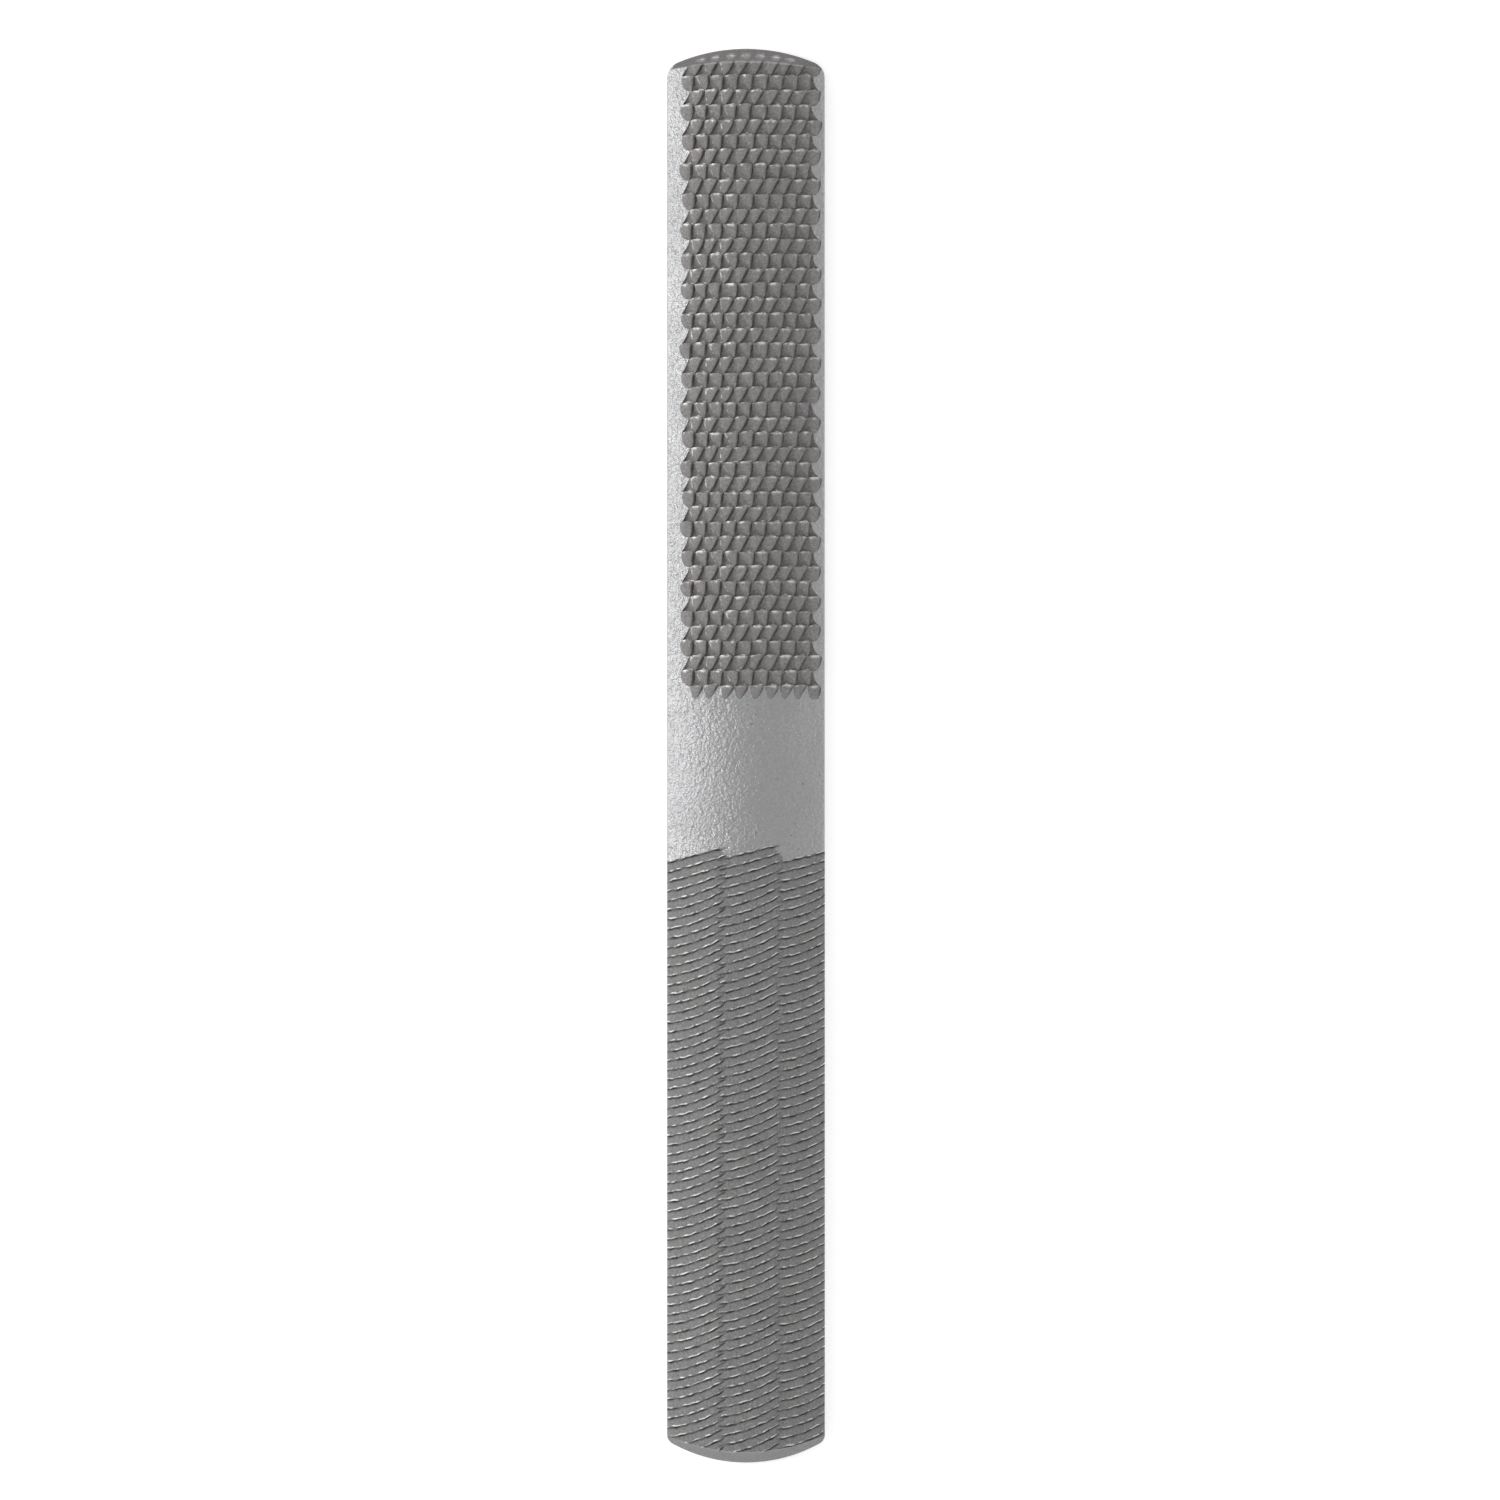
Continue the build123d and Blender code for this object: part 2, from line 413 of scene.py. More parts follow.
def sheet(name, places, relief, polish, beyond=None):
    """A grid laid over a cut zone, with its vertices at the given places and doubles merged."""
    rows, columns = places.shape[:2]
    bpy.ops.mesh.primitive_grid_add(x_subdivisions=columns - 1, y_subdivisions=rows - 1, size=1.0)
    obj = fresh(name)
    if len(obj.data.vertices) != rows * columns:
        raise RuntimeError(f"{name} has {len(obj.data.vertices)} vertices in place of {rows * columns}")
    set_coordinates(obj, places)
    for title, values in (("relief", relief), ("polish", polish)):
        layer = obj.data.attributes.new(title, "FLOAT", "POINT")
        layer.data.foreach_set("value", values.ravel())
    face_mode(obj)
    if beyond is not None:
        corners = read(obj.data.polygons, "vertices", 4, int)
        obj.data.polygons.foreach_set("select", beyond.ravel()[corners].all(axis=1))
    bpy.ops.object.mode_set(mode="EDIT")
    bpy.ops.mesh.delete(type="FACE")
    bpy.ops.mesh.select_mode(type="VERT")
    bpy.ops.mesh.select_all(action="SELECT")
    bpy.ops.mesh.remove_doubles(threshold=1e-6)
    leave_edit()
    return obj


def ring_solid(name, rings):
    """A solid through outlines of equally many points."""
    bpy.ops.mesh.primitive_circle_add(vertices=len(rings[0]), radius=1.0, fill_type="NGON")
    obj = fresh(name)
    set_coordinates(obj, rings[0])
    for before, after in zip(rings, rings[1:]):
        places = coordinates(obj)
        on_ring = np.linalg.norm(places[:, None] - before[None], axis=2).min(axis=1) < 1e-8
        face_mode(obj)
        caps = [face for face in obj.data.polygons if len(face.vertices) == len(before)]
        last = [face for face in caps if on_ring[list(face.vertices)].all()]
        last[-1].select = True
        bpy.ops.object.mode_set(mode="EDIT")
        bpy.ops.mesh.extrude_region_move()
        leave_edit()
        picked = np.flatnonzero(picked_vertices(obj))
        places = coordinates(obj)
        nearest = np.linalg.norm(places[picked][:, None] - before[None], axis=2).argmin(axis=1)
        places[picked] = after[nearest]
        set_coordinates(obj, places)
    face_outwards(obj)
    return obj


def cut(obj, tool, operation):
    """Applies a boolean and removes the tool."""
    modifier = obj.modifiers.new("cut", "BOOLEAN")
    modifier.operation = operation
    modifier.solver = "EXACT"
    modifier.object = tool
    choose(obj)
    bpy.ops.object.modifier_apply(modifier="cut")
    bpy.data.objects.remove(tool)


def finish_piece(obj, node, materials, pick=None):
    """Gives a finished shell its materials, by name, and its place in the frame."""
    for name in materials:
        obj.data.materials.append(finish(name))
    if pick is not None:
        obj.data.polygons.foreach_set("material_index", pick(obj).astype(np.int32))
    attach(obj, BODY)
    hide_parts(node)


# ---- finishes


class Nodes:
    """Short names for laying out a material's nodes."""

    def __init__(self, name):
        self.material = bpy.data.materials.new(name)
        self.material.use_nodes = True
        self.tree = self.material.node_tree
        self.shader = self.tree.nodes["Principled BSDF"]
        self.place = self.tree.nodes.new("ShaderNodeTexCoord").outputs["Object"]

    def link(self, source, target):
        """Joins an output to an input."""
        self.tree.links.new(source, target)

    def noise(self, size, detail=3.0, stretch=(1.0, 1.0, 1.0)):
        """Noise with features of about a size in metres."""
        mapping = self.tree.nodes.new("ShaderNodeMapping")
        mapping.inputs["Scale"].default_value = stretch
        node = self.tree.nodes.new("ShaderNodeTexNoise")
        node.inputs["Scale"].default_value = 1.0 / size
        node.inputs["Detail"].default_value = detail
        self.link(self.place, mapping.inputs["Vector"])
        self.link(mapping.outputs["Vector"], node.inputs["Vector"])
        return node.outputs["Fac"]

    def attribute(self, name):
        """A value carried by the mesh."""
        node = self.tree.nodes.new("ShaderNodeAttribute")
        node.attribute_name = name
        return node.outputs["Fac"]

    def span(self, value, low, high, to_low, to_high):
        """Maps one range of a value to another, held at its ends."""
        node = self.tree.nodes.new("ShaderNodeMapRange")
        limits = {"From Min": low, "From Max": high, "To Min": to_low, "To Max": to_high}
        for socket, number in limits.items():
            node.inputs[socket].default_value = number
        self.link(value, node.inputs["Value"])
        return node.outputs["Result"]

    def multiply(self, first, second):
        """The product of two sockets."""
        node = self.tree.nodes.new("ShaderNodeMath")
        node.operation = "MULTIPLY"
        self.link(first, node.inputs[0])
        self.link(second, node.inputs[1])
        return node.outputs["Value"]

    def mix(self, amount, first, second):
        """A mix of two colours, each a colour or a socket."""
        node = self.tree.nodes.new("ShaderNodeMix")
        node.data_type = "RGBA"
        self.link(amount, node.inputs["Factor"])
        for socket, value in ((node.inputs[6], first), (node.inputs[7], second)):
            if isinstance(value, bpy.types.NodeSocket):
                self.link(value, socket)
            else:
                socket.default_value = (*value, 1.0)
        return node.outputs[2]

    def bump(self, height, depth, strength, after=None):
        """A bump of a depth in metres, laid over another."""
        node = self.tree.nodes.new("ShaderNodeBump")
        node.inputs["Strength"].default_value = strength
        node.inputs["Distance"].default_value = depth
        self.link(height, node.inputs["Height"])
        if after is not None:
            self.link(after, node.inputs["Normal"])
        return node.outputs["Normal"]


def scaled(tone, factor):
    """A colour made lighter or darker."""
    return tuple(min(channel * factor, 1.0) for channel in tone)


def ground_steel(finishes):
    """Blasted steel: a fine sparkle, faint clouds and a few dark specks."""
    nodes = Nodes("ground_steel")
    nodes.shader.inputs["Metallic"].default_value = 1.0
    grain = nodes.noise(0.34 * MM, 4.0)
    cloud = nodes.noise(6 * MM, 4.0)
    speck = nodes.noise(0.6 * MM, 1.0)
    plain = finishes.ground
    tone = nodes.mix(nodes.span(grain, 0.35, 0.65, 0.0, 1.0), scaled(plain, 0.92), scaled(plain, 1.08))
    tone = nodes.mix(nodes.span(cloud, 0.35, 0.65, 0.0, 0.3), tone, scaled(plain, 0.85))
    tone = nodes.mix(nodes.span(speck, 0.74, 0.78, 0.0, 0.6), tone, scaled(plain, 0.4))
    nodes.link(tone, nodes.shader.inputs["Base Color"])
    nodes.link(nodes.span(cloud, 0.3, 0.7, 0.27, 0.36), nodes.shader.inputs["Roughness"])
    fine = nodes.bump(grain, 0.15 * MM, 0.9)
    coarse = nodes.bump(nodes.noise(0.6 * MM, 4.0), 0.22 * MM, 0.9, fine)
    nodes.link(coarse, nodes.shader.inputs["Normal"])
    return nodes.material


def cut_steel(name, tone, crest, root):
    """Steel as the chisel left it: torn grain, roots darker with oxide and painted shade, crests rubbed
    bright with painted highlights, and painted shade on flanks and bevels.
    """
    nodes = Nodes(name)
    nodes.shader.inputs["Metallic"].default_value = 1.0
    relief = nodes.attribute("relief")
    polish = nodes.attribute("polish")
    grain = nodes.noise(0.28 * MM, 3.0)
    cloud = nodes.noise(5 * MM, 3.0)
    patch = nodes.noise(0.7 * MM, 2.0)
    body = nodes.mix(nodes.span(grain, 0.3, 0.7, 0.0, 1.0), scaled(tone, 0.8), scaled(tone, 1.2))
    body = nodes.mix(nodes.span(cloud, 0.35, 0.65, 0.0, 0.3), body, scaled(tone, 0.85))
    # Darker in the roots of pits and grooves: oxide in the hollows, and painted shade
    body = nodes.mix(nodes.span(relief, -0.4, -0.9, 0.0, root), body, scaled(tone, 0.3))
    # Painted shade where the attribute is negative: tooth flanks and bevels
    body = nodes.mix(nodes.span(polish, -0.15, -0.9, 0.0, 0.8), body, scaled(tone, 0.25))
    # Crest colour where the attribute is high: wear, and painted highlights on crests and walls
    bright = nodes.span(polish, 0.35, 0.8, 0.0, 1.0)
    rubbed_and_glinting = nodes.multiply(bright, nodes.span(patch, 0.38, 0.52, 0.0, 1.0))
    body = nodes.mix(rubbed_and_glinting, body, crest)
    nodes.link(body, nodes.shader.inputs["Base Color"])
    nodes.link(nodes.span(rubbed_and_glinting, 0.0, 1.0, 0.84, 0.5), nodes.shader.inputs["Roughness"])
    torn = nodes.bump(nodes.noise(0.5 * MM, 4.0), 0.25 * MM, 0.9)
    nodes.link(nodes.bump(grain, 0.07 * MM, 0.8, torn), nodes.shader.inputs["Normal"])
    return nodes.material


def finish(name):
    """A finish by name, made when first asked for."""
    if name in bpy.data.materials:
        return bpy.data.materials[name]
    finishes = bpy.context.scene.rasp_finishes
    if name == "ground_steel":
        return ground_steel(finishes)
    # The root share darkens hollows with oxide and painted shade, most in the file grooves
    tone, root = (finishes.rasp_cut, 0.35) if name == "rasp_steel" else (finishes.file_cut, 0.9)
    return cut_steel(name, tone, finishes.crest, root)


# ---- the blank


def bar_section(shape):
    """The half-round section, once round: crown, edges and chamfered flat side."""
    _, _, start, end = edge_arc(shape)
    edge = np.linspace(start, end, 6)[1:]
    arcs = np.concatenate([-edge[::-1], np.linspace(-start, start, 49), edge])
    x, z, _, _ = round_surface(shape, arcs)
    foot, chamfer = HALF_WIDTH - shape.foot_chamfer, FLAT_Z + shape.foot_chamfer
    below = [(HALF_WIDTH, chamfer), (foot, FLAT_Z), (-foot, FLAT_Z), (-HALF_WIDTH, chamfer)]
    return np.array(list(zip(x, z)) + below)


def along_bar(profile, y):
    """A profile across the bar, stood at one place along it."""
    return np.column_stack([profile[:, 0], np.full(len(profile), y), profile[:, 1]])


def envelope_ring(shape, z):
    """The outline that both arched and bevelled ends leave at a height."""
    steps = HALF_WIDTH * np.sin(np.linspace(-math.pi / 2, math.pi / 2, 65))
    ring = []
    for rasp_end, sign in ((True, 1), (False, -1)):
        reach = bevel_reach(shape, steps, z, rasp_end)
        ring += [(x, sign * y, z) for x, y in zip(sign * -steps, reach)]
    return np.array(ring)


def pocket_floor(shape, x, y):
    """Height of a pocket's floor, at an even depth under the crown and under a bevel."""
    radius = shape.crown_radius - shape.inlay_depth
    floor = axis_height(shape) + np.sqrt(radius**2 - x**2)
    for rasp_end in (True, False):
        centre = end_facts(shape, rasp_end)[0]
        over = (y > centre) if rasp_end else (y < -centre)
        under = bevel_height(shape, x, y, rasp_end) - shape.skirt
        floor = np.where(over, np.minimum(floor, under), floor)
    return floor


def pocket_rings(shape, left, right, y_from, y_to):
    """Outlines of the space over a pocket's floor, close together where it follows a bevel."""
    close = np.arange(94.0 * MM, abs(y_to), 0.25 * MM)
    stops = np.concatenate([[y_from], np.sign(y_to) * close, [y_to]])
    x = np.linspace(right, left, 41)
    rings = []
    for y in stops:
        floor = pocket_floor(shape, x, np.full_like(x, y))
        profile = [(left, SHEET_TOP), (right, SHEET_TOP), *zip(x, floor)]
        rings.append(along_bar(np.array(profile), y))
    return rings


def box_tool(low, high):
    """A plain box between two corners, to cut with."""
    bpy.ops.mesh.primitive_cube_add(size=1.0, location=(Vector(low) + Vector(high)) / 2)
    bpy.context.object.scale = Vector(high) - Vector(low)
    return fresh("box_tool")


def bevelled_corner(obj):
    """Picks the second finish for the corners of the rasp end's bevel, which then show painted shade."""
    y = read(obj.data.polygons, "center", 3)[:, 1]
    _, forward, up = read(obj.data.polygons, "normal", 3).T
    return (y > CORNERS_FROM) & (up > 0.3) & (forward > 0.5)


class RASP_OT_blank(bpy.types.Operator):
    """Model the ground blank: a half-round section, arched, bevelled and pocketed for its cut zones"""

    bl_idname = "rasp.blank"
    bl_label = "Blank"

    def execute(self, context):
        shape = context.scene.rasp_bar
        section = bar_section(shape)
        reach = HALF_LENGTH + OVER
        obj = ring_solid("steel_blank", [along_bar(section, y) for y in (-reach, reach)])
        between = [height * MM for height in (3.2, 4.0, 4.8, 5.6, 6.4, 7.2)]
        heights = (-OVER, shape.file_bevel_foot, shape.rasp_bevel_foot, *between, SHEET_TOP)
        cut(obj, ring_solid("envelope", [envelope_ring(shape, z) for z in heights]), "INTERSECT")
        ends = HALF_LENGTH + 0.6 * MM
        side = HALF_WIDTH + 0.5 * MM
        pockets = ((RASP_LOW.x, RASP_HIGH.x, GRIP_TO, ends), (-side, side, GRIP_FROM, -ends))
        for limits in pockets:
            cut(obj, ring_solid("pocket", pocket_rings(shape, *limits)), "DIFFERENCE")
        width = HALF_WIDTH + OVER
        flat_file = ((-width, FLAT_FILE_LOW.y, -OVER), (width, ends, FLAT_FILE_HIGH.z))
        flat_rasp = ((-width, -ends, -OVER), (width, FLAT_RASP_HIGH.y, FLAT_RASP_HIGH.z))
        for corners in (flat_file, flat_rasp):
            cut(obj, box_tool(*corners), "DIFFERENCE")
        refuse_open(obj)
        smooth(obj, 30)
        # The blank carries the bevel's painted shade, shown on the faces given the rasp steel
        bevel_shade_layer = obj.data.attributes.new("polish", "FLOAT", "POINT")
        bevel_shade_layer.data.foreach_set("value", np.full(len(obj.data.vertices), -BEVEL_SHADE))
        finish_piece(obj, "blank", ("ground_steel", "rasp_steel"), bevelled_corner)
        return {"FINISHED"}


# ---- rasp fields

# Down a tooth's back, from its crest to the next row's: place, half width, height, foot and pit level
STEPS = np.array([0.0, 0.14, 0.36, 0.60, 0.82, 0.95])
HALF_SHARE = np.array([0.94, 0.90, 0.77, 0.56, 0.33, 0.13])
BACK = np.array([1.0, 0.94, 0.76, 0.48, 0.16, -0.10])
FOOT = np.array([-0.02, -0.10, -0.24, -0.38, -0.50, -0.60])
PIT = np.array([-0.02, -0.2, -0.42, -0.62, -0.8, -0.85])
# Across a tooth and across a pit: both rise slowly from the left and end in a steep wall
TOOTH_ACROSS = np.array([-1.0, -0.66, -0.2, 0.4, 0.86, 1.0])
TOOTH_LEVEL = np.array([0.0, 0.62, 0.88, 1.0, 0.92, 0.0])
PIT_ACROSS = np.array([-1.0, -0.84, -0.45, 0.1, 0.6, 1.0])
PIT_LEVEL = np.array([0.0, 0.95, 1.0, 0.74, 0.36, 0.0])
# Painted shade on the steep wall right of a tooth, on each of those steps, as if the key light from the
# left left it dark
FLANK_SHADE = np.array([0.45, 1.0, 1.0, 0.75, 0.3, 0.0])
TEETH = 9


def rasp_lattice(cutting, rows, height, left, right, seed):
    """Lines over a rasp field: every vertex's place round the section and along the bar, height, and
    painted highlight and shade with crest wear.

    Teeth stand in every other strip of vertices, the next row's pits between them, and the two swap at
    each crest. So a tooth and its pit share one strip, and all strips join up.
    """
    rng = np.random.default_rng(seed)
    step, pitch, depth, bow = cutting.column_pitch, cutting.row_pitch, cutting.pit_depth, cutting.crest_bow
    skew = cutting.row_shift - step / 2
    field = (rows + 2, TEETH)
    stray = rng.uniform(-1, 1, field) * cutting.wander
    lift = rng.uniform(0.74, 1.0, field) * height
    slip = rng.uniform(-1, 1, field) * cutting.wander
    tilt = rng.uniform(-0.2, 0.2, field)
    sway = rng.uniform(-1, 1, field) * 2.4 * cutting.wander
    # Strength of each crest's wear and painted highlight
    rub_and_glint = rng.uniform(0.25, 1.15, (*field, 6))
    chip = rng.uniform(-1, 1, (*field, len(STEPS), 6))
    lines = []
    for row in range(-1, rows):
        shifted = row % 2 == 0
        swing = (0, 0.12 * MM, 0, -0.12 * MM)[row % 4]
        start = cutting.first_column + (cutting.row_shift if shifted else swing)
        centres = start + step * np.arange(TEETH) + stray[row]
        for index, down in enumerate(STEPS):
            drift = (-skew if shifted else skew) * down**1.3
            middle = centres + drift + sway[row] * down * (1 - down) * 2
            half = HALF_SHARE[index] * step / 2
            edges = np.empty(2 * TEETH + 1)
            teeth_at = 1 if shifted else 0
            edges[teeth_at : teeth_at + 2 * TEETH : 2] = middle - half
            edges[teeth_at + 1 : teeth_at + 2 * TEETH : 2] = middle + half
            rounding = 0.5 * step * math.sqrt(1 - ((down - 0.3) / 0.68) ** 2)
            if shifted:
                apex, wide = edges[1] - 0.1 * step, cutting.first_column - 0.45 * step
                edges[0] = apex + (wide - apex) * down**1.3
                edges[-1] = max(edges[-2] + 0.2 * MM, centres[-1] + rounding)
            else:
                apex = edges[-2] + 0.1 * step
                wide = cutting.first_column + cutting.row_shift + step * (TEETH - 1 + 0.45)
                edges[-1] = apex + (wide - apex) * down**2.2
                edges[0] = min(edges[1] - 0.2 * MM, centres[0] - rounding)
            for i in range(1, len(edges)):
                edges[i] = max(edges[i], edges[i - 1] + 0.07 * MM)
            line = [(left, 0.0, 0.0, 0.0), ((left + edges[0]) / 2, 0.0, 0.0, 0.0)]
            for block in range(2 * TEETH):
                low, high = edges[block], edges[block + 1]
                tooth = block // 2
                is_tooth = (block % 2 == 1) == shifted
                across = TOOTH_ACROSS if is_tooth else PIT_ACROSS
                s = (low + high) / 2 + (high - low) / 2 * across
                foot_low = 0.0 if block == 0 else FOOT[index] * depth
                foot_high = 0.0 if block == 2 * TEETH - 1 else FOOT[index] * depth
                foot = foot_low + (foot_high - foot_low) * (across + 1) / 2
                rough = chip[row, tooth, index] * cutting.chip
                highlight_and_shade = np.zeros(6)
                if is_tooth:
                    top = BACK[index] * lift[row, tooth] * (1 + tilt[row, tooth] * across) + rough
                    h = foot + (top - foot) * TOOTH_LEVEL
                    y = -bow * (across**2 * (1 - down) ** 2 + down**3) + slip[row, tooth] * (1 - down)
                    # Crest and the step below it rubbed bright: wear, and a painted highlight
                    if index < 2 and row >= 0:
                        highlight_and_shade = rub_and_glint[row, tooth] * (1.0 if index == 0 else 0.55)
                    # Painted shade on the right flank, painted stronger towards the right-hand teeth
                    painted_flank_shade = -FLANK_SHADE[index] * np.where(TOOTH_ACROSS < 1, 0.45 + 0.06 * tooth, 1.0)
                    highlight_and_shade = np.where(TOOTH_ACROSS > 0.8, painted_flank_shade, highlight_and_shade)
                else:
                    h = foot + (PIT[index] * depth + rough - foot) * PIT_LEVEL
                    y = -bow * ((1 - down) ** 2 + across**2 * down**3)
                    y = y + slip[row + 1, tooth] * down * (1 - across**2)
                    # Painted highlight on the pit's crest edge and on its end wall, which faces away from
                    # the lights
                    if index == 0 or index == len(STEPS) - 1:
                        highlight_and_shade = 0.9 * rub_and_glint[row + 1, tooth]
                    # Painted shade on the pit's left edges, beside the tooth's right flank
                    if block > 0:
                        highlight_and_shade[1] = -FLANK_SHADE[index]
                        highlight_and_shade[2] = -(0.15 + 0.06 * tooth) * FLANK_SHADE[index]
                    # Painted highlight on the left flanks of the three left columns, which face the key
                    # light
                    if tooth < 3 and 0 < index < 4:
                        highlight_and_shade[-1] = rub_and_glint[row, tooth, index]
                if row == rows - 1:
                    h = np.maximum(h, 0.0) if is_tooth else h * 0.0
                line += list(zip(s, y, h, highlight_and_shade))[min(block, 1) :]
            line += [((right + edges[-1]) / 2, 0.0, 0.0, 0.0), (right, 0.0, 0.0, 0.0)]
            line = np.array(line)
            line[:, 1] += cutting.first_row - pitch * (row + down)
            lines.append(line)
    return np.moveaxis(np.array(lines), -1, 0)


def rasp_relief(heights, height, depth):
    """Height as a share of a tooth or, below the bar, of a pit."""
    return np.where(heights > 0, heights / height, heights / depth)


def land_or_cut(obj):
    """Picks the second finish for faces that are cut or bevelled."""
    relief = np.abs(read(obj.data.attributes["relief"].data, "value"))
    y = read(obj.data.polygons, "center", 3)[:, 1]
    _, forward, up = read(obj.data.polygons, "normal", 3).T
    bevelled = (np.abs(y) > BEVELS_FROM) & (up > 0.3) & (np.abs(forward) > 0.6)
    highest = [relief[list(face.vertices)].max() for face in obj.data.polygons]
    return bevelled | (np.array(highest) > 0.02)


class RASP_OT_round_rasp(bpy.types.Operator):
    """Model the round side's burr teeth and their pits"""

    bl_idname = "rasp.round_rasp"
    bl_label = "Round-side rasp teeth"

    def execute(self, context):
        shape, cutting = context.scene.rasp_bar, context.scene.rasp_teeth
        rows = 1 + round((cutting.first_row - GRIP_TO) / cutting.row_pitch - 0.95)
        left, right = arc_of(shape, RASP_LOW.x), arc_of(shape, RASP_HIGH.x)
        s, y, h, polish = rasp_lattice(cutting, rows, cutting.tooth_height, left, right, 11)
        y[-1] = GRIP_TO
        y = np.maximum(y, GRIP_TO)

        def crest(arc):
            waves = np.cos(2 * math.pi * (arc - cutting.first_column) / cutting.column_pitch)
            return 0.07 * MM * np.clip(1.3 * waves, 0.0, 1.0) * (np.abs(arc) < 7.6 * MM)

        rows_up = [values[::-1] for values in (s, y, h, polish)]
        places, h, polish = over_the_bevel(shape, *rows_up, True, crest)
        relief = rasp_relief(h, cutting.tooth_height, cutting.pit_depth)
        obj = sheet("round_rasp_cut", places, relief, polish)
        close_over_core(obj, shape)
        finish_piece(obj, "round_rasp_teeth", ("ground_steel", "rasp_steel"), land_or_cut)
        return {"FINISHED"}


def close_over_core(obj, shape):
    """Closes a round-side sheet down to the floor of its pocket."""

    def to_floor(places):
        x, y, z = places.T
        return np.column_stack([x, y, np.minimum(pocket_floor(shape, x, y), z - 0.02 * MM)])

    close_sheet(obj, to_floor)


# ---- file courses

# Below a crest, as a share of the pitch: the steep wall, the root and the land up to the next crest
GROOVE_AT = np.array([0.0, 0.05, 0.13, 0.20, 0.29, 0.38, 0.5, 0.62, 0.74, 0.86, 0.94, 1.0])
GROOVE_LEVEL = np.array([0.0, -0.88, -1.0, -0.62, -0.36, -0.22, -0.14, -0.08, -0.04, -0.01, 0.0, 0.0])
BURR_LEVEL = np.array([1.0, 0.0, 0.0, 0.0, 0.0, 0.0, 0.0, 0.0, 0.1, 0.5, 0.85, 1.0])


class Course:
    """One course of slanted grooves: where it lies, and how its lines run."""

    def __init__(self, cutting, left, right, start, first_slant, dies_out):
        self.cutting, self.left, self.right = cutting, left, right
        self.start, self.first_slant, self.dies_out = start, first_slant, dies_out

    def rise(self, s, line):
        """How far a line has risen across its course: the first ones are straight."""
        across = s - self.left
        straight = np.clip(1 - line / self.cutting.straight_grooves, 0.0, 1.0)
        bent = across * (self.cutting.slant + self.cutting.bend / 2 * np.maximum(across, 0.0) / MM)
        long_waves = np.sin(across / (0.52 * MM) + 2.3 * line)
        short_waves = np.sin(across / (0.23 * MM) + 1.1 * line)
        shake = self.cutting.shake * (long_waves + short_waves)
        return straight * self.first_slant * across + (1 - straight) * bent + shake / 2

    def along(self, s, line):
        """Place along the bar of a line, which may lie between two crests."""
        return self.start - self.cutting.pitch * line + self.rise(s, line)

    def line_at(self, s, y):
        """The line that passes through a place."""
        line = (self.start - y) / self.cutting.pitch
        for _ in range(8):
            line = (self.start + self.rise(s, line) - y) / self.cutting.pitch
        return line

    def depth(self, s):
        """How deep the chisel bites: it dies out at ends inside the bar."""
        share = np.ones_like(s)
        if self.dies_out[0]:
            share = share * np.clip((s - self.left) / self.cutting.run_out, 0.0, 1.0)
        if self.dies_out[1]:
            share = share * np.clip((self.right - s) / self.cutting.run_out, 0.0, 1.0)
        return share * (2 - share)

    def covers(self, s, y):
        """Whether a place is cut: the first grooves stop short of the course's end."""
        line = self.line_at(s, y)
        short = np.clip(1.5 - 0.9 * line, 0.0, 1.5) * MM
        low = self.left + short * self.dies_out[0]
        high = self.right - short * self.dies_out[1]
        return (line > -0.1) & (s >= low) & (s <= high)

    def height(self, s, line):
        """Height over the crown: grooves, and a small burr on each crest."""
        part = np.where(line < 0, np.where(line > -0.1, 1 + line, 0.6), np.mod(line, 1.0))
        number = np.floor(line + 0.5)
        groove = np.interp(part, GROOVE_AT, GROOVE_LEVEL) * (line >= 0)
        burr = np.interp(part, GROOVE_AT, BURR_LEVEL) * (line > -0.1)
        waves = np.sin(7.3 * number + s / (0.37 * MM)) * np.sin(2.1 * number + s / (0.93 * MM))
        below = groove * self.cutting.groove_depth * (0.74 + 0.26 * waves)
        above = burr * self.cutting.burr * (0.8 + 0.5 * waves)
        return self.depth(s) * (below + above)


def file_courses(shape, cutting):
    """The round side's three courses, each running on into the next."""
    _, _, _, end = edge_arc(shape)
    seams = [arc_of(shape, box[1].x) for box in COURSE_BOXES[:2]]
    lap = 2.3 * MM
    spans = ((-end, seams[0]), (seams[0] - lap, seams[1]), (seams[1] - 0.6 * lap, end))
    starts = (-3.1 * MM, -2.8 * MM, -3.2 * MM)
    slants = (cutting.first_slant, cutting.first_slant, 0.85 * cutting.first_slant)
    dies_out = ((False, True), (True, True), (True, False))
    tops = [GRIP_FROM + start for start in starts]
    return [Course(cutting, *spans[i], tops[i], slants[i], dies_out[i]) for i in range(3)]


def neighbours(courses, index):
    """The courses beside one."""
    return [courses[i] for i in (index - 1, index + 1) if 0 <= i < len(courses)]


